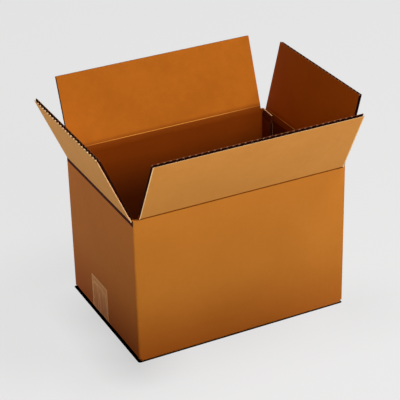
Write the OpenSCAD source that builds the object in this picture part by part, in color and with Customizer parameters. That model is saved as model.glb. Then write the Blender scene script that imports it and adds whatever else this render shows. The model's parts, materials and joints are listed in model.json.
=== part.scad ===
// Open corrugated shipping carton: a regular slotted container folded from one blank.
// The origin is on the ground under the middle of the box. X runs along the long panels,
// Y from the front panel to the back panel, and Z up.

/* [Carton] */
// Length of the box outside, along the front panel
carton_l = 288; // [250:1:340]
// Width of the box outside, along the end panels
carton_w = 202; // [180:1:240]
// Height of the long panels' top creases above the ground
carton_h = 196; // [120:1:280]
// Thickness of the corrugated board
board_t = 4; // [3:0.1:5]
// Outer radius of the folds
fold_r = 3; // [2:0.5:6]

/* [Flaps] */
// Gap at the middle of the bottom, where the front and back flaps meet
seam_gap = 6; // [2:0.5:14]
// Reach of the end flaps from their creases, at the top and at the bottom
end_flap_l = 97; // [60:1:115]
// Lean of the front flap outwards from upright
front_tilt = 27; // [0:0.5:75]
// Lean of the back flap outwards from upright
back_tilt = 20; // [0:0.5:75]
// Lean of the left flap outwards from upright
left_tilt = 23.5; // [0:0.5:75]
// Lean of the right flap outwards from upright
right_tilt = 13.5; // [0:0.5:75]

/* [Slots] */
// Inset of the front flap from the box's left corner
front_slot_left = 8; // [1:0.5:15]
// Inset of the front flap from the box's right corner
front_slot_right = 4; // [1:0.5:15]
// Inset of the back flap from the box's left corner
back_slot_left = 5; // [1:0.5:15]
// Inset of the back flap from the box's right corner
back_slot_right = 10; // [1:0.5:15]
// Inset of the bottom flaps' folds from where the curve of a corner's fold ends
bottom_slot = 0.5; // [0.5:0.5:8]
// Room between an end flap and the long panels that it folds down between
end_flap_play = 0.4; // [0.2:0.1:6]
// Room for a long flap's crease between the level ends of its panel's top edge, over both ends
slot_play = 0.8; // [0.4:0.1:1.6]

/* [Creases] */
// Gap between the mitred edges of a panel and its top flap when the flap is closed
crease_gap = 0.32; // [0.3:0.02:0.6]
// Distance of a top crease's turning line outside the face of its panel
crease_out = 0.2; // [0.15:0.05:0.5]
// Gap between two flaps that lie on each other
layer_gap = 0.4; // [0.3:0.1:1]

/* [Corrugation] */
// Pitch of the flutes
flute_pitch = 7.95; // [6:0.05:9]
// Thickness of each flat liner
liner_t = 0.4; // [0.3:0.05:0.8]
// Thickness of the waved medium, across the board
medium_t = 0.4; // [0.3:0.05:0.8]
// Share of a flute's pitch that its open channel takes up at the liner
channel_share = 0.8; // [0.6:0.05:0.9]
// Length of board beside a crease where the flutes are crushed shut
crushed_l = 8; // [7:1:20]

/* [Glue tab] */
// Width of the glue tab inside the right panel
tab_w = 26; // [15:1:50]
// Drop of each end of the tab from its fold to its free edge
tab_bevel = 3; // [1:0.5:15]
// Gap of the glue line between the tab and the right panel
glue_gap = 0.3; // [0.1:0.05:0.5]

/* [Bottom tape] */
// Width of the tape
tape_w = 48; // [36:1:75]
// Thickness of the tape
tape_t = 0.15; // [0.1:0.05:0.3]
// Height of the tape's ends above the ground
tape_up = 54; // [20:1:100]
// Distance of the tape's middle behind the middle of the box
tape_back = 15; // [-15:1:15]
// Gap between the tape and the folds that it goes round
tape_gap = 0.05; // [0.04:0.01:0.2]

/* [Hidden] */
kraft = "#b9793b";
tape_tan = "#9d714b";
arc_steps = 8;
wave_steps = 5;
overcut = 1;
half_l = carton_l / 2;
half_w = carton_w / 2;
long_flap_l = half_w - seam_gap / 2;
front_flap_w = carton_l - front_slot_left - front_slot_right;
front_flap_mid = (front_slot_left - front_slot_right) / 2;
back_flap_w = carton_l - back_slot_left - back_slot_right;
back_flap_mid = (back_slot_right - back_slot_left) / 2;
// A mitre starts this far from its crease, so that a closed flap clears its panel by crease_gap
mitre_start = crease_gap / sqrt(2) + crease_out;
// The end panels are lower by one board, so that their flaps close under the long flaps
end_crease_h = carton_h - board_t - layer_gap;
// The long flaps of the bottom lie on the ground, and the end flaps on them
upper_layer = board_t + layer_gap;
bottom_inset = fold_r + bottom_slot;
end_flap_inset = board_t + end_flap_play;
end_flap_w = carton_w - 2 * end_flap_inset;
// The tab stays under the right flap when that is closed
tab_top = end_crease_h - crease_out - board_t - layer_gap;
tab_foot = upper_layer + board_t + layer_gap;
tab_face = half_l - board_t - glue_gap;

// Points of a quarter circle about [x, y], counterclockwise from angle a
function quarter(x, y, r, a) =
    [for (i = [0 : arc_steps]) [x + r * cos(a + 90 * i / arc_steps), y + r * sin(a + 90 * i / arc_steps)]];

// Height of the medium's outer side above the outer face, at x from the crest of a flute
function wave(x, pitch) =
    board_t / 2 - medium_t / 2 + (board_t / 2 - liner_t - medium_t / 2) * cos(360 * x / pitch);

// Extrudes a profile drawn in Y and Z along X, centred
module along_x(length) translate([-length / 2, 0, 0]) rotate([90, 0, 90]) linear_extrude(length) children();

// Puts a side's own frame on the box: X along the panel, Y from its outer face inwards
module on_side(turn, out) rotate([0, 0, turn]) translate([0, -out, 0]) children();

// Stands a flap on its crease and leans it outwards about the turning line
module on_crease(turn, out, height, tilt)
    on_side(turn, out) translate([0, -crease_out, height])
        rotate([tilt, 0, 0]) translate([0, crease_out, 0]) children();

// Open channel between the outer liner and the medium, centred on a crest of the wave
module channel(pitch) {
    reach = channel_share * pitch / 2;
    polygon(concat(
        [[-reach, liner_t], [reach, liner_t]],
        [for (i = [0 : wave_steps]) let (x = reach - 2 * reach * i / wave_steps) [x, wave(x, pitch)]]
    ));
}

// Section of the board across its flutes, cut through a channel at both sides
module fluted_section(width) {
    count = round(width / flute_pitch);
    pitch = width / count;
    translate([-width / 2, 0]) difference() {
        square([width, board_t]);
        for (i = [0 : count]) translate([i * pitch, 0]) channel(pitch);
        for (i = [0.5 : count - 0.5]) translate([i * pitch, board_t]) mirror([0, 1]) channel(pitch);
    }
}

// Flap in its own frame, standing on its crease, with its free edge showing the flutes
module flap_board(width, reach) {
    translate([0, 0, crushed_l]) linear_extrude(reach - crushed_l) fluted_section(width);
    along_x(width) polygon([
        [0, mitre_start], [board_t, mitre_start + board_t], [board_t, crushed_l], [0, crushed_l]
    ]);
}

// Plan of the four panels as one sheet: three rounded folds, and the lapped joint at the back right
module wall_plan() {
    difference() {
        union() {
            square([carton_l - 2 * fold_r, carton_w], center = true);
            square([carton_l, carton_w - 2 * fold_r], center = true);
            for (x = [-1, 1], y = [-1, 1])
                translate([x * (half_l - fold_r), y * (half_w - fold_r)]) circle(fold_r, $fn = 48);
            translate([half_l - fold_r, half_w - fold_r]) square(fold_r);
        }
        square([carton_l - 2 * board_t, carton_w - 2 * board_t], center = true);
        // The right panel laps outside the fold that the tab hangs on
        difference() {
            translate([tab_face - fold_r, half_w - fold_r]) square([fold_r + glue_gap, fold_r + overcut]);
            translate([tab_face - fold_r, half_w - fold_r]) circle(fold_r, $fn = 48);
        }
        translate([tab_face, half_w - board_t - overcut]) square([glue_gap, board_t + 2 * overcut]);
    }
}

// Wedge over a mitred top edge, in a side's own frame
module mitre_cut(length, height) {
    top = height - mitre_start;
    deep = board_t + glue_gap / 2;
    along_x(length) polygon([
        [-overcut, top + overcut], [deep, top - deep],
        [deep, carton_h + overcut], [-overcut, carton_h + overcut]
    ]);
}

// Walls from the lower end of the folds to the top edges, which are mitred under the flaps
module walls() {
    difference() {
        translate([0, 0, upper_layer]) linear_extrude(carton_h - mitre_start - upper_layer) wall_plan();
        on_side(0, half_w) translate([front_flap_mid, 0, 0]) mitre_cut(front_flap_w + slot_play, carton_h);
        on_side(180, half_w) translate([back_flap_mid, 0, 0]) mitre_cut(back_flap_w + slot_play, carton_h);
        on_side(270, half_l) mitre_cut(carton_w - 2 * board_t, end_crease_h);
        // At the lapped joint the right panel keeps the height of an end panel to its cut edge
        on_side(90, half_l) translate([(board_t + overcut) / 2, 0, 0])
            mitre_cut(carton_w - board_t + overcut, end_crease_h);
        for (turn = [90, 270]) on_side(turn, half_l) along_x(carton_w - 2 * bottom_inset) fold_relief();
    }
}

// What is cut away outside the rounded fold under an end panel
module fold_relief() {
    translate([0, upper_layer]) difference() {
        translate([-overcut, -overcut]) square(fold_r + overcut);
        translate([fold_r, fold_r]) circle(fold_r, $fn = 48);
    }
}

// Long bottom flap with its fold, in its side's own frame, pressed in where the tape lies
module long_bottom_flap() {
    along_x(carton_l - 2 * bottom_inset) polygon(concat(
        quarter(fold_r, fold_r, fold_r, 180),
        [[long_flap_l, 0], [long_flap_l, board_t], [board_t, board_t], [board_t, upper_layer], [0, upper_layer]]
    ));
}

// End flap of the bottom, in its side's own frame, with its free edge showing the flutes
module end_bottom_flap() {
    translate([-end_flap_w / 2, board_t, upper_layer]) cube([end_flap_w, crushed_l - board_t, board_t]);
    translate([0, end_flap_l, upper_layer])
        rotate([90, 0, 0]) linear_extrude(end_flap_l - crushed_l) fluted_section(end_flap_w);
}

// Tab that hangs on the back panel's fold, with both ends bevelled
module glue_tab() {
    root = half_w - board_t;
    translate([tab_face - board_t / 2, 0, 0]) along_x(board_t) polygon([
        [root, tab_foot], [root, tab_top], [root + board_t - tab_w, tab_top - tab_bevel],
        [root + board_t - tab_w, tab_foot + tab_bevel]
    ]);
}

module carton() {
    color(kraft) union() {
        walls();
        glue_tab();
        for (turn = [90, 270]) on_side(turn, half_l) end_bottom_flap();
        difference() {
            for (turn = [0, 180]) on_side(turn, half_w) long_bottom_flap();
            translate([-half_l, tape_back - tape_w / 2, -overcut]) cube([carton_l, tape_w, overcut + tape_t]);
        }
    }
}

module flap_front() {
    color(kraft) on_crease(0, half_w, carton_h, front_tilt)
        translate([front_flap_mid, 0, 0]) flap_board(front_flap_w, long_flap_l);
}

module flap_back() {
    color(kraft) on_crease(180, half_w, carton_h, back_tilt)
        translate([back_flap_mid, 0, 0]) flap_board(back_flap_w, long_flap_l);
}

module flap_left() {
    color(kraft) on_crease(270, half_l, end_crease_h, left_tilt) flap_board(end_flap_w, end_flap_l);
}

module flap_right() {
    color(kraft) on_crease(90, half_l, end_crease_h, right_tilt) flap_board(end_flap_w, end_flap_l);
}

// Path of the tape from the edge of the long flaps up one end panel, at a distance from the board,
// in X from the panel's outer face inwards and Z
function tape_end(off) =
    let (
        r = fold_r + tape_gap + off,
        // The tape runs straight from the long flaps' edge to the fold under the end panel
        run = [bottom_slot, tape_t - upper_layer - fold_r],
        rise = atan2(-run[1], -run[0]) + asin((fold_r + tape_gap) / norm(run)),
        touch = rise + 90,
        on = [fold_r + r * cos(touch), upper_layer + fold_r + r * sin(touch)],
        level = tape_t - off
    )
    concat(
        [[on[0] + (level - on[1]) * cos(rise) / sin(rise), level]],
        [for (i = [0 : arc_steps]) let (a = touch + (180 - touch) * i / arc_steps)
            [fold_r + r * cos(a), upper_layer + fold_r + r * sin(a)]],
        [[fold_r - r, tape_up]]
    );

// Whole path of the tape from the top of its left end to the top of its right end
function tape_path(off) =
    let (end = tape_end(off), last = len(end) - 1)
    concat(
        [for (i = [last : -1 : 0]) [end[i][0] - half_l, end[i][1]]],
        [for (i = [0 : last]) [half_l - end[i][0], end[i][1]]]
    );

// Strip along the seam of the bottom, with its ends up the end panels
module bottom_tape() {
    inner = tape_path(0);
    outer = tape_path(tape_t);
    color(tape_tan) translate([0, tape_back + tape_w / 2, 0]) rotate([90, 0, 0]) linear_extrude(tape_w)
        polygon(concat(outer, [for (i = [len(inner) - 1 : -1 : 0]) inner[i]]));
}

carton();
flap_front();
flap_back();
flap_left();
flap_right();
bottom_tape();
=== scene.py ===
import json
import math

import bpy
from mathutils import Matrix, Vector


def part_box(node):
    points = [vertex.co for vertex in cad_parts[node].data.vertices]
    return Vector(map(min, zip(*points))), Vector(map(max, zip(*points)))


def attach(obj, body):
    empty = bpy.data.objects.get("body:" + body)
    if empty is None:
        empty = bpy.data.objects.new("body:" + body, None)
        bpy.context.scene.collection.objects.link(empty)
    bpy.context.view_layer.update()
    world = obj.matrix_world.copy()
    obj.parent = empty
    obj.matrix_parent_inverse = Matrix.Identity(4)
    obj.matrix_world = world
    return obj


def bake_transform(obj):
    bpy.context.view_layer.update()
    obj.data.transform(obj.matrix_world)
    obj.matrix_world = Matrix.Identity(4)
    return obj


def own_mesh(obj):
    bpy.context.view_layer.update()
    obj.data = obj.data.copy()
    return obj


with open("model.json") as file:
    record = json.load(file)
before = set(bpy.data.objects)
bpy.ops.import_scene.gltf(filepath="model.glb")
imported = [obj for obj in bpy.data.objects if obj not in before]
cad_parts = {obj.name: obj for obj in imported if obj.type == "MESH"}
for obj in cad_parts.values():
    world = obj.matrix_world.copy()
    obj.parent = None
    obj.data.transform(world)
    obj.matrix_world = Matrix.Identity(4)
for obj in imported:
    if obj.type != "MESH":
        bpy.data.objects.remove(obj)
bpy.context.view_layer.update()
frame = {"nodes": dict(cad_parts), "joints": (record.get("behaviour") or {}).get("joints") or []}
bpy.context.scene.view_settings.view_transform = "Standard"

# Box body: four panels and their bottom flaps, cut from one blank of C-flute corrugated board.
# Two kraft liners are glued to a waved medium. The blank is scored, slotted and folded
# square, and a tab glued inside the back right corner closes it.
BOARD_T = 0.004
LINER_T = 0.0004
FLUTE_PITCH = 0.00795
HALF_L, HALF_W = 0.144, 0.101
SCORE_REACH = 0.0044
END_SCORE_Z = 0.1876
TAB_MIDDLE, TAB_EDGE = 0.1377, 0.075
RIGHT_WALL = 0.1398


def linear(colour):
    """Linear values of an sRGB hex colour."""
    parts = [int(colour[i:i + 2], 16) / 255 for i in (1, 3, 5)]
    return [v / 12.92 if v <= 0.04045 else ((v + 0.055) / 1.055) ** 2.4 for v in parts] + [1]


def add_node(material, kind, sockets=None, **settings):
    """Adds a node with its settings and gives its outputs. A socket gets a value or a link."""
    tree = material.node_tree
    node = tree.nodes.new(kind)
    for name, value in settings.items():
        setattr(node, name, value)
    for socket, value in (sockets or {}).items():
        if isinstance(value, bpy.types.NodeSocket):
            tree.links.new(value, node.inputs[socket])
        else:
            node.inputs[socket].default_value = value
    return node.outputs


def kraft_board(name, form, outer, inner, place=Matrix.Identity(4), ends=(0, 1), reach=1,
                crests=None, score=None):
    """Board of the body, of a flap or of a crease, seen in the frame of its panel. outer and inner
    are each liner's dark and light shade. A flap also has its two ends, its reach from the crease,
    the shades of its flutes' crests by the outer and inner liner and of its slit sides by the outer
    one, how far the crests show, and the width and shade of its outer score."""
    board = bpy.data.materials.new(name)
    board.use_nodes = True
    board.node_tree.nodes.clear()
    pitch = (ends[1] - ends[0]) / round((ends[1] - ends[0]) / FLUTE_PITCH)
    turn = place.to_euler("XYZ")
    source = add_node(board, "ShaderNodeTexCoord")
    at = add_node(board, "ShaderNodeMapping", {
        "Vector": source["Object"], "Location": place.translation, "Rotation": turn,
    }, vector_type="TEXTURE")[0]
    facing = add_node(board, "ShaderNodeMapping", {
        "Vector": source["Normal"], "Rotation": turn,
    }, vector_type="TEXTURE")[0]
    spot = add_node(board, "ShaderNodeSeparateXYZ", {0: at})
    normal = add_node(board, "ShaderNodeSeparateXYZ", {0: facing})
    steep = add_node(board, "ShaderNodeMath", {0: normal["Y"]}, operation="ABSOLUTE")[0]

    # Kraft liner: unbleached pulp dried on a felt, so the brown is matt and clouded at 60 mm
    # and 9 mm. Its fibres lie across the flutes. They are drawn as bundles 4 mm long and
    # 0.5 mm wide, coarser than real ones, so that they show
    cloud = add_node(board, "ShaderNodeTexNoise", {
        "Vector": at, "Scale": 17, "Detail": 3, "Roughness": 0.55,
    })[0]
    mottle = add_node(board, "ShaderNodeTexNoise", {
        "Vector": at, "Scale": 110, "Detail": 4, "Roughness": 0.6,
    })[0]
    combed = add_node(board, "ShaderNodeMapping", {"Vector": at, "Scale": (260, 260, 2100)})[0]
    streak = add_node(board, "ShaderNodeTexNoise", {
        "Vector": combed, "Scale": 1, "Detail": 3, "Roughness": 0.6,
    })[0]
    tone = add_node(board, "ShaderNodeMath", {0: mottle, 1: 0.3}, operation="MULTIPLY")[0]
    tone = add_node(board, "ShaderNodeMath", {0: cloud, 1: 0.5, 2: tone}, operation="MULTIPLY_ADD")[0]
    tone = add_node(board, "ShaderNodeMath", {0: streak, 1: 0.2, 2: tone}, operation="MULTIPLY_ADD")[0]
    tone = add_node(board, "ShaderNodeMapRange", {0: tone, 1: 0.3, 2: 0.7})[0]
    outer_liner = add_node(board, "ShaderNodeMix", {
        0: tone, 6: linear(outer[0]), 7: linear(outer[1]),
    }, data_type="RGBA")[2]
    inner_liner = add_node(board, "ShaderNodeMix", {
        0: tone, 6: linear(inner[0]), 7: linear(inner[1]),
    }, data_type="RGBA")[2]
    across = spot["X"]
    if form == "body":
        from_x = add_node(board, "ShaderNodeMath", {0: spot["X"]}, operation="ABSOLUTE")[0]
        from_y = add_node(board, "ShaderNodeMath", {0: spot["Y"]}, operation="ABSOLUTE")[0]
        in_x = add_node(board, "ShaderNodeMath", {
            0: from_x, 1: HALF_L - BOARD_T / 2,
        }, operation="LESS_THAN")[0]
        in_y = add_node(board, "ShaderNodeMath", {
            0: from_y, 1: HALF_W - BOARD_T / 2,
        }, operation="LESS_THAN")[0]
        above = add_node(board, "ShaderNodeMath", {
            0: spot["Z"], 1: BOARD_T / 2,
        }, operation="GREATER_THAN")[0]
        inside = add_node(board, "ShaderNodeMath", {0: in_x, 1: in_y}, operation="MULTIPLY")[0]
        inside = add_node(board, "ShaderNodeMath", {0: inside, 1: above}, operation="MULTIPLY")[0]
        fronting = add_node(board, "ShaderNodeMath", {0: steep, 1: 0.5}, operation="GREATER_THAN")[0]
        across = add_node(board, "ShaderNodeMix", {0: fronting, 2: spot["Y"], 3: spot["X"]})[0]
    elif form == "flap":
        inside = add_node(board, "ShaderNodeMath", {
            0: spot["Y"], 1: BOARD_T / 2,
        }, operation="GREATER_THAN")[0]
    else:
        inside = add_node(board, "ShaderNodeMapRange", {0: spot["Z"], 1: -SCORE_REACH, 2: reach})[0]
    colour = add_node(board, "ShaderNodeMix", {
        0: inside, 6: outer_liner, 7: inner_liner,
    }, data_type="RGBA")[2]

    # Specks of bark, dark, and of bleached fibre, pale, about 1 mm long
    scatter = add_node(board, "ShaderNodeTexVoronoi", {
        "Vector": combed, "Scale": 0.75, "Randomness": 1,
    })
    speck = add_node(board, "ShaderNodeMapRange", {0: scatter["Distance"], 1: 0.16, 2: 0.05, 4: 0.5})[0]
    rare = add_node(board, "ShaderNodeSeparateXYZ", {0: scatter["Color"]})
    bark = add_node(board, "ShaderNodeMath", {0: rare["X"], 1: 0.9}, operation="GREATER_THAN")[0]
    bark = add_node(board, "ShaderNodeMath", {0: bark, 1: speck}, operation="MULTIPLY")[0]
    fibre = add_node(board, "ShaderNodeMath", {0: rare["Y"], 1: 0.9}, operation="GREATER_THAN")[0]
    fibre = add_node(board, "ShaderNodeMath", {0: fibre, 1: speck}, operation="MULTIPLY")[0]
    colour = add_node(board, "ShaderNodeMix", {
        0: bark, 6: colour, 7: (0.3, 0.3, 0.3, 1),
    }, data_type="RGBA", blend_type="MULTIPLY")[2]
    colour = add_node(board, "ShaderNodeMix", {
        0: fibre, 6: colour, 7: (1.3, 1.6, 2.5, 1),
    }, data_type="RGBA", blend_type="MULTIPLY")[2]

    # The liner sinks 0.02 mm between the crests of the flutes, so it shows a soft washboard.
    # Its grain is 0.04 mm deep and its fibres 0.03 mm
    wave = add_node(board, "ShaderNodeMath", {0: across, 1: ends[0]}, operation="SUBTRACT")[0]
    wave = add_node(board, "ShaderNodeMath", {0: wave, 1: 2 * math.pi / pitch}, operation="MULTIPLY")[0]
    wave = add_node(board, "ShaderNodeMath", {0: wave}, operation="COSINE")[0]
    grain = add_node(board, "ShaderNodeTexNoise", {"Vector": at, "Scale": 1900, "Detail": 2})[0]
    relief = add_node(board, "ShaderNodeMath", {0: grain, 1: 0.00004}, operation="MULTIPLY")[0]
    relief = add_node(board, "ShaderNodeMath", {
        0: wave, 1: 0.00001, 2: relief,
    }, operation="MULTIPLY_ADD")[0]
    relief = add_node(board, "ShaderNodeMath", {
        0: streak, 1: 0.00003, 2: relief,
    }, operation="MULTIPLY_ADD")[0]
    bump = add_node(board, "ShaderNodeBump", {"Height": relief, "Strength": 1, "Distance": 1})[0]

    if form == "body":
        # Painted shade: the outer liner is darker and redder towards the bottom, most at the left
        low = add_node(board, "ShaderNodeMapRange", {
            0: spot["Z"], 1: 0.1, 2: -0.02, 4: 0.55,
        }, interpolation_type="SMOOTHSTEP")[0]
        shade_leftward = add_node(board, "ShaderNodeMapRange", {
            0: spot["X"], 1: HALF_L, 2: -HALF_L, 3: 0.85, 4: 1.35,
        })[0]
        low = add_node(board, "ShaderNodeMath", {0: low, 1: shade_leftward}, operation="MULTIPLY")[0]
        outside = add_node(board, "ShaderNodeMix", {
            0: low, 6: colour, 7: (0.68, 0.34, 0.2, 1),
        }, data_type="RGBA", blend_type="MULTIPLY")[2]
        # Painted shade inside: the walls darken below the flaps' reach and towards the tab, so the tab is
        # darker than the walls, and the wall behind it is the darkest of the four
        inner_shade = add_node(board, "ShaderNodeMapRange", {0: spot["Z"], 1: 0.172, 2: 0.115})[0]
        by_tab = add_node(board, "ShaderNodeMapRange", {0: spot["X"], 1: 0.1335, 2: RIGHT_WALL})[0]
        inner_shade = add_node(board, "ShaderNodeMath", {0: inner_shade, 1: by_tab}, operation="MAXIMUM")[0]
        within = add_node(board, "ShaderNodeMix", {
            0: inner_shade, 6: colour, 7: (0.45, 0.4, 0.5, 1),
        }, data_type="RGBA", blend_type="MULTIPLY")[2]
        colour = add_node(board, "ShaderNodeMix", {
            0: inside, 6: outside, 7: within,
        }, data_type="RGBA")[2]
        # Painted light: the end panels are tinted a shade redder, for the warmer light on the left end. A
        # dark band along their flaps' scores is painted shade
        on_end = add_node(board, "ShaderNodeMath", {
            0: from_x, 1: HALF_L - 0.0005,
        }, operation="GREATER_THAN")[0]
        colour = add_node(board, "ShaderNodeMix", {
            0: on_end, 6: colour, 7: (0.97, 0.87, 0.95, 1),
        }, data_type="RGBA", blend_type="MULTIPLY")[2]
        score_shade = add_node(board, "ShaderNodeMath", {
            0: spot["Z"], 1: END_SCORE_Z,
        }, operation="GREATER_THAN")[0]
        score_shade = add_node(board, "ShaderNodeMath", {0: score_shade, 1: on_end}, operation="MULTIPLY")[0]
        colour = add_node(board, "ShaderNodeMix", {
            0: score_shade, 6: colour, 7: linear("#3e0a03"),
        }, data_type="RGBA")[2]
        # The glued tab's free edge: the crushed flutes are painted dark as shade, and the liner by the
        # wall is pale
        by_wall = add_node(board, "ShaderNodeMath", {
            0: spot["X"], 1: RIGHT_WALL - 2 * LINER_T,
        }, operation="GREATER_THAN")[0]
        tab_edge = add_node(board, "ShaderNodeMix", {
            0: by_wall, 6: linear("#2a1006"), 7: linear("#8a5c40"),
        }, data_type="RGBA")[2]
        on_tab = add_node(board, "ShaderNodeMath", {
            0: spot["X"], 1: TAB_MIDDLE, 2: RIGHT_WALL - TAB_MIDDLE,
        }, operation="COMPARE")[0]
        at_edge = add_node(board, "ShaderNodeMath", {
            0: spot["Y"], 1: TAB_EDGE, 2: 0.0002,
        }, operation="COMPARE")[0]
        at_edge = add_node(board, "ShaderNodeMath", {0: at_edge, 1: on_tab}, operation="MULTIPLY")[0]
        colour = add_node(board, "ShaderNodeMix", {
            0: at_edge, 6: colour, 7: tab_edge,
        }, data_type="RGBA")[2]

    if form == "crease":
        # Painted highlight: the liner is pale along the last 0.8 mm of its upper fold, fainter near the
        # slots
        fold = add_node(board, "ShaderNodeMath", {
            0: spot["Z"], 1: reach - 0.0008,
        }, operation="GREATER_THAN")[0]
        off_slots = add_node(board, "ShaderNodeMath", {0: spot["X"]}, operation="ABSOLUTE")[0]
        off_slots = add_node(board, "ShaderNodeMapRange", {
            0: off_slots, 1: ends[1], 2: ends[1] / 2, 3: 0.25, 4: 1,
        })[0]
        fold = add_node(board, "ShaderNodeMath", {0: fold, 1: off_slots}, operation="MULTIPLY")[0]
        colour = add_node(board, "ShaderNodeMix", {
            0: fold, 6: colour, 7: linear("#dd9238"),
        }, data_type="RGBA")[2]

    if form == "flap":
        # Painted shade: the inner liner darkens at a flap's foot, fading out 9.5 mm up, and a dark band
        # runs along the outer score
        flap_foot_shade = add_node(board, "ShaderNodeMapRange", {
            0: spot["Z"], 1: 0.0095, 2: SCORE_REACH, 4: 0.8,
        })[0]
        flap_foot_shade = add_node(board, "ShaderNodeMath", {0: flap_foot_shade, 1: inside}, operation="MULTIPLY")[0]
        colour = add_node(board, "ShaderNodeMix", {
            0: flap_foot_shade, 6: colour, 7: (0.6, 0.45, 0.3, 1),
        }, data_type="RGBA", blend_type="MULTIPLY")[2]
        outward = add_node(board, "ShaderNodeMath", {0: 1, 1: inside}, operation="SUBTRACT")[0]
        score_shade = add_node(board, "ShaderNodeMath", {0: spot["Z"], 1: score[0]}, operation="LESS_THAN")[0]
        score_shade = add_node(board, "ShaderNodeMath", {0: score_shade, 1: outward}, operation="MULTIPLY")[0]
        colour = add_node(board, "ShaderNodeMix", {
            0: score_shade, 6: colour, 7: linear(score[1]),
        }, data_type="RGBA")[2]
        # The outer liner is pale along its rims, 1.3 mm wide at the sides and 0.7 mm at the top
        middle = (ends[0] + ends[1]) / 2
        from_middle = add_node(board, "ShaderNodeMath", {0: spot["X"], 1: middle}, operation="SUBTRACT")[0]
        from_middle = add_node(board, "ShaderNodeMath", {0: from_middle}, operation="ABSOLUTE")[0]
        at_side = add_node(board, "ShaderNodeMath", {
            0: from_middle, 1: ends[1] - middle - 0.0013,
        }, operation="GREATER_THAN")[0]
        at_top = add_node(board, "ShaderNodeMath", {
            0: spot["Z"], 1: reach - 0.0007,
        }, operation="GREATER_THAN")[0]
        rim = add_node(board, "ShaderNodeMath", {0: at_side, 1: at_top}, operation="MAXIMUM")[0]
        rim = add_node(board, "ShaderNodeMath", {0: rim, 1: outward}, operation="MULTIPLY")[0]
        colour = add_node(board, "ShaderNodeMix", {
            0: rim, 6: colour, 7: linear("#eec68f"),
        }, data_type="RGBA")[2]

        # Raw cut edges: the knife bares the flutes, painted near black as their shade, and at the frayed
        # free edge the crests that are glued to the liners stand out, one each 8 mm, pale or dark on each
        # side as light falls: painted light and shade
        half_core = BOARD_T / 2 - LINER_T
        depth = add_node(board, "ShaderNodeMath", {0: spot["Y"], 1: BOARD_T / 2}, operation="SUBTRACT")[0]
        off_middle = add_node(board, "ShaderNodeMath", {0: depth}, operation="ABSOLUTE")[0]
        core = add_node(board, "ShaderNodeMath", {
            0: off_middle, 1: half_core + 0.00001,
        }, operation="LESS_THAN")[0]
        cut = add_node(board, "ShaderNodeMath", {0: steep, 1: 0.55}, operation="LESS_THAN")[0]
        past_score = add_node(board, "ShaderNodeMath", {
            0: spot["Z"], 1: SCORE_REACH + 0.0002,
        }, operation="GREATER_THAN")[0]
        cut = add_node(board, "ShaderNodeMath", {0: cut, 1: past_score}, operation="MULTIPLY")[0]
        bare = add_node(board, "ShaderNodeMath", {0: core, 1: cut}, operation="MAXIMUM")[0]
        side = add_node(board, "ShaderNodeMath", {0: depth, 1: 1 / half_core}, operation="MULTIPLY")[0]
        by_side = add_node(board, "ShaderNodeMath", {0: side}, operation="ABSOLUTE")[0]
        crest = add_node(board, "ShaderNodeMath", {0: side}, operation="SIGN")[0]
        crest = add_node(board, "ShaderNodeMath", {0: crest, 1: wave}, operation="MULTIPLY")[0]
        crest = add_node(board, "ShaderNodeMath", {
            0: crest, 1: crests[3], 2: by_side,
        }, operation="MULTIPLY_ADD")[0]
        crest = add_node(board, "ShaderNodeMapRange", {0: crest, 1: 1.3, 2: 1.5})[0]
        frayed = add_node(board, "ShaderNodeMath", {
            0: spot["Z"], 1: reach - 0.0016,
        }, operation="GREATER_THAN")[0]
        crest = add_node(board, "ShaderNodeMath", {0: crest, 1: frayed}, operation="MULTIPLY")[0]
        glued = add_node(board, "ShaderNodeMix", {
            0: inside, 6: linear(crests[0]), 7: linear(crests[1]),
        }, data_type="RGBA")[2]
        lip = add_node(board, "ShaderNodeMath", {0: side, 1: 1.01}, operation="GREATER_THAN")[0]
        shade = add_node(board, "ShaderNodeMix", {
            0: lip, 6: linear("#2c0a02"), 7: linear("#6e4027"),
        }, data_type="RGBA")[2]
        by_liner = add_node(board, "ShaderNodeMath", {0: spot["Y"], 1: 0.0013}, operation="LESS_THAN")[0]
        slit = add_node(board, "ShaderNodeMix", {
            0: by_liner, 6: linear("#280b03"), 7: linear(crests[2]),
        }, data_type="RGBA")[2]
        shade = add_node(board, "ShaderNodeMix", {0: frayed, 6: slit, 7: shade}, data_type="RGBA")[2]
        flute = add_node(board, "ShaderNodeMix", {0: crest, 6: shade, 7: glued}, data_type="RGBA")[2]
        colour = add_node(board, "ShaderNodeMix", {0: bare, 6: colour, 7: flute}, data_type="RGBA")[2]

    paper = add_node(board, "ShaderNodeBsdfPrincipled", {
        "Base Color": colour, "Roughness": 0.7, "IOR": 1.15, "Normal": bump,
    })
    add_node(board, "ShaderNodeOutputMaterial", {"Surface": paper[0]})
    return board


def dress(piece, material):
    """Gives a piece one material."""
    piece.data.materials.clear()
    piece.data.materials.append(material)


BODY_OUTER = ("#bc7225", "#c5792b")
# The body's inner liner is a darker, shaded copy of the flaps' inner kraft: painted shade
BODY_INNER_SHADED = ("#813602", "#8a3c03")
body_board = kraft_board("corrugated kraft board, body", "body", BODY_OUTER, BODY_INNER_SHADED)
dress(frame["nodes"]["carton"], body_board)

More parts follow.
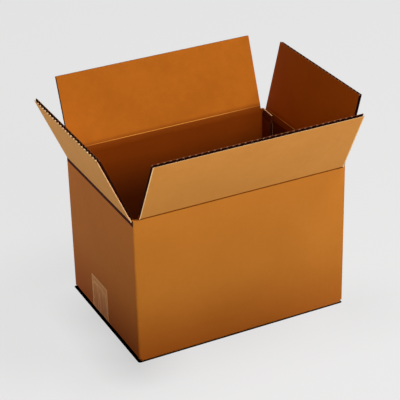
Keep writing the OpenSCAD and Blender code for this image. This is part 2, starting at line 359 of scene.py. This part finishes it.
# Tab top: the end of the glued tab beside the right flap, bevelled so that it slides in easily,
# and crushed thin by the gluing press. The closing flap presses it down, so the solid tab stops
# at 187 mm, and this piece adds the 9 mm that stand free while the flap is open.
TAB_T, TAB_TOP_W = 0.0039, 0.022
TAB_TOP_FOOT, TAB_TOP_LAP, TAB_TOP_RISE = 0.184, 0.003, 0.00825
CRUSHED_SHARE = 0.45
bpy.ops.object.select_all(action="DESELECT")
bpy.ops.mesh.primitive_cube_add(size=1, location=(
    TAB_MIDDLE, TAB_EDGE + TAB_TOP_W / 2, TAB_TOP_FOOT + TAB_TOP_LAP / 2,
))
tab_top = bpy.context.object
tab_top.name = "tab_top"
bpy.ops.object.mode_set(mode="EDIT")
bpy.ops.transform.resize(value=(TAB_T, TAB_TOP_W, TAB_TOP_LAP))
bpy.ops.mesh.select_all(action="DESELECT")
bpy.ops.object.mode_set(mode="OBJECT")
for face in tab_top.data.polygons:
    face.select = face.normal.z > 0.5
bpy.ops.object.mode_set(mode="EDIT")
bpy.ops.mesh.extrude_region_move(TRANSFORM_OT_translate={"value": (0.001, 0, TAB_TOP_RISE)})
bpy.ops.transform.resize(value=(CRUSHED_SHARE, 1, 1))
bpy.ops.object.mode_set(mode="OBJECT")
bpy.ops.object.transform_apply(location=True)
# The bevel: the free edge stands lower than the fold, by 3 mm at the foot and 1.5 mm at the top
for vertex in tab_top.data.vertices:
    from_edge = (vertex.co.y - TAB_EDGE) / TAB_TOP_W
    vertex.co.z += (from_edge - 0.5) * (0.0015 if vertex.co.z > 0.19 else 0.003)
softened = tab_top.modifiers.new("worn edges", "BEVEL")
softened.width = 0.0003
softened.segments = 2
bpy.ops.object.modifier_apply(modifier=softened.name)
# Crushed board: the inner liner is painted dark as the shade in the box, and its upper faces pale, partly
# torn fibre and partly painted light
crushed = bpy.data.materials.new("crushed kraft board, tab")
crushed.use_nodes = True
crushed.node_tree.nodes.clear()
crushed_at = add_node(crushed, "ShaderNodeTexCoord")
crushed_up = add_node(crushed, "ShaderNodeSeparateXYZ", {0: crushed_at["Normal"]})["Z"]
torn_and_lit = add_node(crushed, "ShaderNodeMath", {0: crushed_up, 1: 0.5}, operation="GREATER_THAN")[0]
pulp = add_node(crushed, "ShaderNodeTexNoise", {
    "Vector": crushed_at["Object"], "Scale": 600, "Detail": 3,
})[0]
sound = add_node(crushed, "ShaderNodeMix", {
    0: pulp, 6: linear("#461504"), 7: linear("#541b05"),
}, data_type="RGBA")[2]
fluff = add_node(crushed, "ShaderNodeMix", {
    0: pulp, 6: linear("#c98a5a"), 7: linear("#f0bd8c"),
}, data_type="RGBA")[2]
crushed_colour = add_node(crushed, "ShaderNodeMix", {0: torn_and_lit, 6: sound, 7: fluff}, data_type="RGBA")[2]
crushed_bump = add_node(crushed, "ShaderNodeBump", {
    "Height": pulp, "Strength": 0.5, "Distance": 0.0003,
})[0]
crushed_paper = add_node(crushed, "ShaderNodeBsdfPrincipled", {
    "Base Color": crushed_colour, "Roughness": 0.8, "IOR": 1.22, "Normal": crushed_bump,
})
add_node(crushed, "ShaderNodeOutputMaterial", {"Surface": crushed_paper[0]})
dress(tab_top, crushed)
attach(tab_top, "box")
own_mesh(tab_top)

# Top flaps: the ends of the same four panels, cut free by slots at the corners.
# Each hangs on its score line and leans outwards as it was left. The free edge is the
# board's cut end, where the open flutes show dark between the pale liners.
CREASE_OUT = 0.0002
# Each flap's liner shades are lit and shaded copies of one kraft, painted light and shade: paler on the
# front and left flaps' outer faces and darker on the right flap's inner face
FLAP_OUTER = {
    "flap_front": ("#c5833b", "#d28e43"), "flap_back": ("#b56f21", "#c2792a"),
    "flap_left": ("#c78a3f", "#d59448"), "flap_right": ("#b56f21", "#c2792a"),
}
FLAP_INNER = {
    "flap_front": ("#a65d12", "#b36616"), "flap_back": ("#a85b11", "#be6919"),
    "flap_left": ("#a65d12", "#b36616"), "flap_right": ("#a14903", "#ae5105"),
}
# Painted light and shade at the cut edges: each flap's crest shades by the outer and inner liner, its slit
# side's shade by the outer liner, and how far the crests show
FLAP_CRESTS = {
    "flap_front": ("#2c0a02", "#84553a", "#280b03", 0.8),
    "flap_back": ("#8f6144", "#8f6144", "#280b03", 0.8),
    "flap_left": ("#ffd9a8", "#6e4027", "#f6c592", 1.5),
    "flap_right": ("#8f6144", "#8f6144", "#280b03", 0.8),
}
# Painted shade: the dark band along each flap's outer score, its width and colour
FLAP_SCORE_SHADES = {
    "flap_front": (0.0017, "#94500c"), "flap_back": (0.0017, "#94500c"),
    "flap_left": (0.0022, "#460d04"), "flap_right": (0.0022, "#460d04"),
}
flaps = {}
for joint in frame["joints"]:
    node = joint["child"]
    axis = Vector(joint["axis"])
    side = Matrix.Translation(joint["pos_m"]) @ Matrix.Rotation(math.atan2(axis.y, axis.x), 4, "Z")
    side = side @ Matrix.Translation((0, CREASE_OUT, 0))
    tilt = math.radians(-joint["range_deg"][0] - 90)
    hinge = Matrix.Translation((0, -CREASE_OUT, 0))
    lean = hinge @ Matrix.Rotation(tilt, 4, "X") @ hinge.inverted()
    corners = [(side @ lean).inverted() @ vertex.co for vertex in frame["nodes"][node].data.vertices]
    ends = (min(corner.x for corner in corners), max(corner.x for corner in corners))
    reach = max(corner.z for corner in corners)
    flaps[node] = {"side": side, "tilt": tilt, "lean": lean, "ends": ends}
    board = kraft_board(
        f"corrugated kraft board, {node}", "flap", FLAP_OUTER[node], FLAP_INNER[node],
        side @ lean, ends, reach, FLAP_CRESTS[node], FLAP_SCORE_SHADES[node],
    )
    dress(frame["nodes"][node], board)

# Top creases: the score line of each top flap, where the press has crushed the flutes.
# The inner liner runs over it unbroken in a shallow groove, and stretches as the flap opens.
SKIN_T = 0.0018
SKIN_STEPS = 12
SKIN_REACH = 0.00443
SKIN_LIFT = 0.00005
SKIN_PLAY = 0.0001
for node, flap in flaps.items():
    low, high = flap["ends"][0] + SKIN_PLAY, flap["ends"][1] - SKIN_PLAY
    lip = BOARD_T + SKIN_LIFT
    foot = Vector((0, lip, -SKIN_REACH))
    bend = Vector((0, lip, (BOARD_T + CREASE_OUT) * math.tan(flap["tilt"] / 2)))
    top = flap["lean"] @ Vector((0, lip, SKIN_REACH))
    curve = []
    for step in range(SKIN_STEPS + 1):
        s = step / SKIN_STEPS
        curve.append((1 - s) ** 2 * foot + 2 * s * (1 - s) * bend + s ** 2 * top)
    bpy.ops.object.select_all(action="DESELECT")
    bpy.ops.mesh.primitive_plane_add(size=1)
    crease = bpy.context.object
    crease.name = node.replace("flap", "crease")
    bpy.ops.object.mode_set(mode="EDIT")
    bpy.ops.transform.resize(value=(high - low, 0, 0))
    bpy.ops.mesh.remove_doubles(threshold=0.000001)
    bpy.ops.transform.translate(value=curve[0] + Vector(((low + high) / 2, 0, 0)))
    for start, end in zip(curve, curve[1:]):
        bpy.ops.mesh.extrude_region_move(TRANSFORM_OT_translate={"value": end - start})
    bpy.ops.object.mode_set(mode="OBJECT")
    if crease.data.polygons[0].normal.y < 0:
        crease.data.flip_normals()
    solid = crease.modifiers.new("crushed board", "SOLIDIFY")
    solid.thickness = SKIN_T
    solid.offset = -1
    bpy.ops.object.modifier_apply(modifier=solid.name)
    crease.data.transform(flap["side"])
    crease.data.update()
    bpy.ops.object.shade_smooth_by_angle(angle=math.radians(40))
    # Painted shade: the skin runs from the walls' shaded inner colour to a dark shade of the flaps' kraft
    skin = kraft_board(
        f"creased kraft board, {node}", "crease", BODY_INNER_SHADED, ("#7f3903", "#883f05"),
        flap["side"], flap["ends"], top.z,
    )
    dress(crease, skin)
    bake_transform(crease)

# Bottom tape: one strip of clear packing tape along the seam, turned up both end panels.
# It is a plastic film with a thin coat of adhesive, rubbed down by hand, so it is glossy and
# lies in small wrinkles where air is left under it.
TAPE_W = 0.048
TAPE_TOP = 0.054
TAPE_MIDDLE = sum(corner.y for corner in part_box("bottom_tape")) / 2
FOLD_IN, FOLD_LOWER, FOLD_ROUND = 0.0035, 0.006, 0.006
tape = bpy.data.materials.new("clear packing tape")
tape.use_nodes = True
tape.node_tree.nodes.clear()
tape_source = add_node(tape, "ShaderNodeTexCoord")
tape_at = tape_source["Object"]
tape_spot = add_node(tape, "ShaderNodeSeparateXYZ", {0: tape_at})
# The film shows the kraft through it. Its edges are pale, where dust sticks to the adhesive.
# Trapped air draws a pale fold, which wanders 4 mm in from the sides and 10 mm below the top,
# and the rubbing left streaks that run down
ripple = add_node(tape, "ShaderNodeTexNoise", {"Vector": tape_at, "Scale": 160, "Detail": 3})[0]
drawn_down = add_node(tape, "ShaderNodeMapping", {"Vector": tape_at, "Scale": (420, 420, 42)})[0]
rubbed = add_node(tape, "ShaderNodeTexNoise", {"Vector": drawn_down, "Scale": 1, "Detail": 2})[0]
rubbed = add_node(tape, "ShaderNodeMapRange", {0: rubbed, 1: 0.52, 2: 0.7, 4: 0.4})[0]
from_top = add_node(tape, "ShaderNodeMath", {0: TAPE_TOP, 1: tape_spot["Z"]}, operation="SUBTRACT")[0]
tape_off = add_node(tape, "ShaderNodeMath", {0: tape_spot["Y"], 1: TAPE_MIDDLE}, operation="SUBTRACT")[0]
tape_off = add_node(tape, "ShaderNodeMath", {0: tape_off}, operation="ABSOLUTE")[0]
from_side = add_node(tape, "ShaderNodeMath", {0: TAPE_W / 2, 1: tape_off}, operation="SUBTRACT")[0]
wander = add_node(tape, "ShaderNodeTexNoise", {"Vector": tape_at, "Scale": 55, "Detail": 1})[0]
wander = add_node(tape, "ShaderNodeMapRange", {0: wander, 1: 0.3, 2: 0.7, 3: -0.0024, 4: 0.0024})[0]
from_edge = add_node(tape, "ShaderNodeMath", {0: from_top, 1: FOLD_LOWER}, operation="SUBTRACT")[0]
from_edge = add_node(tape, "ShaderNodeMath", {
    0: from_edge, 1: from_side, 2: FOLD_ROUND,
}, operation="SMOOTH_MIN")[0]
from_edge = add_node(tape, "ShaderNodeMath", {0: from_edge, 1: wander}, operation="ADD")[0]
off_fold = add_node(tape, "ShaderNodeMath", {0: from_edge, 1: FOLD_IN}, operation="SUBTRACT")[0]
off_fold = add_node(tape, "ShaderNodeMath", {0: off_fold}, operation="ABSOLUTE")[0]
pressed = add_node(tape, "ShaderNodeMapRange", {0: ripple, 1: 0.35, 2: 0.6, 3: 0.3, 4: 0.95})[0]
fold_line = add_node(tape, "ShaderNodeMapRange", {0: off_fold, 1: 0.0014, 2: 0.0002, 4: pressed})[0]
border = add_node(tape, "ShaderNodeMath", {0: from_top, 1: from_side}, operation="MINIMUM")[0]
border = add_node(tape, "ShaderNodeMapRange", {0: border, 1: 0.0018, 2: 0.0008})[0]
pale_marks = add_node(tape, "ShaderNodeMath", {0: fold_line, 1: border}, operation="MAXIMUM")[0]
pale_marks = add_node(tape, "ShaderNodeMath", {0: pale_marks, 1: rubbed}, operation="MAXIMUM")[0]
kraft_below = add_node(tape, "ShaderNodeMix", {
    0: ripple, 6: linear("#b9661f"), 7: linear("#cd742b"),
}, data_type="RGBA")[2]
# Painted light: the kraft under the film is lighter towards the top
upper_light = add_node(tape, "ShaderNodeMapRange", {0: from_top, 1: 0.034, 2: 0.002, 4: 0.6})[0]
kraft_below = add_node(tape, "ShaderNodeMix", {
    0: upper_light, 6: kraft_below, 7: linear("#e39c56"),
}, data_type="RGBA")[2]
film_colour = add_node(tape, "ShaderNodeMix", {
    0: pale_marks, 6: kraft_below, 7: linear("#f6b774"),
}, data_type="RGBA")[2]
# Inside the box the adhesive side shows in the seam, brown with paper dust
tape_up = add_node(tape, "ShaderNodeSeparateXYZ", {0: tape_source["Normal"]})["Z"]
tape_up = add_node(tape, "ShaderNodeMath", {0: tape_up, 1: 0.5}, operation="GREATER_THAN")[0]
film_colour = add_node(tape, "ShaderNodeMix", {
    0: tape_up, 6: film_colour, 7: linear("#5a2c10"),
}, data_type="RGBA")[2]
tape_relief = add_node(tape, "ShaderNodeMath", {0: fold_line, 1: ripple}, operation="ADD")[0]
tape_bump = add_node(tape, "ShaderNodeBump", {
    "Height": tape_relief, "Strength": 0.5, "Distance": 0.0006,
})[0]
film = add_node(tape, "ShaderNodeBsdfPrincipled", {
    "Base Color": film_colour, "Roughness": 0.35, "IOR": 1.08, "Normal": tape_bump,
})
add_node(tape, "ShaderNodeOutputMaterial", {"Surface": film[0]})
dress(frame["nodes"]["bottom_tape"], tape)

# Floor: a plain pale studio sweep of painted board. The camera and reflections see it pale.
# It also gives the box soft light from below, but is dark off the box's front left corner,
# because an even floor lights the foot of the box far more than the photograph shows.
SWEEP_SIZE = 16
PALE_PAINT = "#e8e8e8"
SHADED_SPOT = (-0.11, -0.15, 0)
PLATE_MIDDLE, PLATE_HALF, PLATE_CORNER = (-0.0007, 0.001, 0), (0.1415, 0.0995, 0), 0.003
bpy.ops.object.select_all(action="DESELECT")
bpy.ops.mesh.primitive_plane_add(size=SWEEP_SIZE)
floor = bpy.context.object
floor.name = "floor"
sweep = bpy.data.materials.new("pale painted sweep")
sweep.use_nodes = True
sweep.node_tree.nodes.clear()
sweep_at = add_node(sweep, "ShaderNodeTexCoord")["Object"]
sweep_place = add_node(sweep, "ShaderNodeSeparateXYZ", {0: sweep_at})
away = add_node(sweep, "ShaderNodeVectorMath", {
    0: sweep_at, 1: SHADED_SPOT,
}, operation="DISTANCE")["Value"]
# For the light on the box the floor glows: painted light of strength 0.985 from 380 mm off the spot, going
# over to a dark brown matt, painted shade, within 130 mm of it
near_far = add_node(sweep, "ShaderNodeMapRange", {0: away, 1: 0.13, 2: 0.38})[0]
dim = add_node(sweep, "ShaderNodeBsdfDiffuse", {"Color": linear("#30241c")})
lit = add_node(sweep, "ShaderNodeEmission", {"Color": (1, 1, 1, 1), "Strength": 0.985})
glow_on_box = add_node(sweep, "ShaderNodeMixShader", {0: near_far, 1: dim[0], 2: lit[0]})
ray = add_node(sweep, "ShaderNodeLightPath")
seen = add_node(sweep, "ShaderNodeMath", {
    0: ray["Is Camera Ray"], 1: ray["Is Glossy Ray"],
}, operation="MAXIMUM")[0]
seen = add_node(sweep, "ShaderNodeMath", {
    0: seen, 1: ray["Is Transmission Ray"],
}, operation="MAXIMUM")[0]
# No light gets in under the box: a painted shadow, black in a rounded rectangle, which stands out 0.5 mm
# at the front, 1.2 mm at the left and 2.5 mm at the back
under = add_node(sweep, "ShaderNodeVectorMath", {0: sweep_at, 1: PLATE_MIDDLE}, operation="SUBTRACT")[0]
under = add_node(sweep, "ShaderNodeVectorMath", {0: under}, operation="ABSOLUTE")[0]
under = add_node(sweep, "ShaderNodeVectorMath", {0: under, 1: PLATE_HALF}, operation="SUBTRACT")[0]
under = add_node(sweep, "ShaderNodeVectorMath", {0: under, 1: (0, 0, 0)}, operation="MAXIMUM")[0]
under = add_node(sweep, "ShaderNodeVectorMath", {0: under}, operation="LENGTH")["Value"]
under = add_node(sweep, "ShaderNodeMath", {0: under, 1: PLATE_CORNER}, operation="LESS_THAN")[0]
glow_colour = add_node(sweep, "ShaderNodeMix", {
    0: under, 6: linear(PALE_PAINT), 7: linear("#000000"),
}, data_type="RGBA")[2]
# Painted shadow of the box on the sweep: wide and faint at its front, and close along its left
off_box = add_node(sweep, "ShaderNodeVectorMath", {0: sweep_at}, operation="ABSOLUTE")[0]
off_box = add_node(sweep, "ShaderNodeVectorMath", {
    0: off_box, 1: (HALF_L, HALF_W, 0),
}, operation="SUBTRACT")[0]
off_box = add_node(sweep, "ShaderNodeVectorMath", {0: off_box, 1: (0, 0, 0)}, operation="MAXIMUM")[0]
off_box = add_node(sweep, "ShaderNodeVectorMath", {0: off_box}, operation="LENGTH")["Value"]
wide_shade = add_node(sweep, "ShaderNodeMapRange", {0: off_box, 1: 0.115, 2: 0, 4: 0.075})[0]
at_front = add_node(sweep, "ShaderNodeMapRange", {0: sweep_place["Y"], 1: -0.03, 2: -0.11})[0]
wide_shade = add_node(sweep, "ShaderNodeMath", {0: wide_shade, 1: at_front}, operation="MULTIPLY")[0]
close_shade = add_node(sweep, "ShaderNodeMapRange", {0: off_box, 1: 0.06, 2: 0, 4: 0.16})[0]
at_left = add_node(sweep, "ShaderNodeMapRange", {0: sweep_place["X"], 1: -0.08, 2: -0.15})[0]
close_shade = add_node(sweep, "ShaderNodeMath", {0: close_shade, 1: at_left}, operation="MULTIPLY")[0]
off_rear = add_node(sweep, "ShaderNodeMapRange", {0: sweep_place["Y"], 1: 0.1, 2: 0.02})[0]
close_shade = add_node(sweep, "ShaderNodeMath", {0: close_shade, 1: off_rear}, operation="MULTIPLY")[0]
painted_floor_shadow = add_node(sweep, "ShaderNodeMath", {0: wide_shade, 1: close_shade}, operation="ADD")[0]
glow_colour = add_node(sweep, "ShaderNodeMix", {
    0: painted_floor_shadow, 6: glow_colour, 7: linear("#000000"),
}, data_type="RGBA")[2]
matt_colour = add_node(sweep, "ShaderNodeMix", {
    0: under, 6: linear(PALE_PAINT), 7: linear("#101010"),
}, data_type="RGBA")[2]
glow = add_node(sweep, "ShaderNodeEmission", {"Color": glow_colour, "Strength": 1})
matt = add_node(sweep, "ShaderNodeBsdfDiffuse", {"Color": matt_colour})
pale = add_node(sweep, "ShaderNodeMixShader", {0: 0.12, 1: glow[0], 2: matt[0]})
shown = add_node(sweep, "ShaderNodeMixShader", {0: seen, 1: glow_on_box[0], 2: pale[0]})
add_node(sweep, "ShaderNodeOutputMaterial", {"Surface": shown[0]})
dress(floor, sweep)

# Room: the studio's pale walls. The camera and reflections see them, but they light nothing,
# so that all the light on the box comes from the lamps and the floor.
ROOM_LEVEL = 0.8
world = bpy.data.worlds.new("pale room")
bpy.context.scene.world = world
world.use_nodes = True
world.node_tree.nodes.clear()
room_ray = add_node(world, "ShaderNodeLightPath")
room_seen = add_node(world, "ShaderNodeMath", {
    0: room_ray["Is Camera Ray"], 1: room_ray["Is Glossy Ray"],
}, operation="MAXIMUM")[0]
room_seen = add_node(world, "ShaderNodeMath", {
    0: room_seen, 1: room_ray["Is Transmission Ray"],
}, operation="MAXIMUM")[0]
room_strength = add_node(world, "ShaderNodeMath", {
    0: room_seen, 1: ROOM_LEVEL,
}, operation="MULTIPLY")[0]
room = add_node(world, "ShaderNodeBackground", {"Color": (1, 1, 1, 1), "Strength": room_strength})
add_node(world, "ShaderNodeOutputWorld", {"Surface": room[0]})

# Lamps: a high key from the right, a fill at the front far and near, and a low one at the left.
# Each is a square soft box whose side is 0.35 of its distance.
BOX_MIDDLE = Vector((0, 0, 0.12))


def soft_lamp(name, azimuth, elevation, distance, level):
    """Square soft lamp that points at the middle of the box. At level 1 it lights white to white."""
    a, e = math.radians(azimuth), math.radians(elevation)
    aim = Vector((math.sin(a) * math.cos(e), -math.cos(a) * math.cos(e), math.sin(e)))
    lamp = bpy.data.lights.new(name, "AREA")
    lamp.size = 0.35 * distance
    lamp.energy = (math.pi * distance) ** 2 * level
    holder = bpy.data.objects.new(name, lamp)
    bpy.context.scene.collection.objects.link(holder)
    stand = Matrix.Translation(aim * distance + BOX_MIDDLE)
    holder.matrix_world = stand @ (-aim).to_track_quat("-Z", "Y").to_matrix().to_4x4()


soft_lamp("key lamp", 69, 65, 3, 0.77)
soft_lamp("front lamp", 0, 35, 3, 0.42)
soft_lamp("near front lamp", 0, 35, 0.8, 0.2)
soft_lamp("low left lamp", -75, 12, 3, 0.122)

# Camera: a long lens, 1.9 m from the box, at the place and turn that a fit to the photograph's
# edges gave.
PICTURE_PX, FOCAL_PX = 400, 1516.14
lens = bpy.data.cameras.new("camera")
lens.sensor_width = 36
lens.lens = FOCAL_PX / PICTURE_PX * lens.sensor_width
lens.clip_start = 0.05
camera = bpy.data.objects.new("camera", lens)
right = Vector((0.89186966, -0.45178714, -0.02137511))
up = Vector((0.23010892, 0.4125557, 0.88138963))
back = -Vector((0.38938207, 0.79100327, -0.47190616))
turned = Matrix((right, up, back)).transposed().to_4x4()
camera.matrix_world = Matrix.Translation((-0.750829, -1.510459, 1.042618)) @ turned
bpy.context.scene.collection.objects.link(camera)
bpy.context.scene.camera = camera
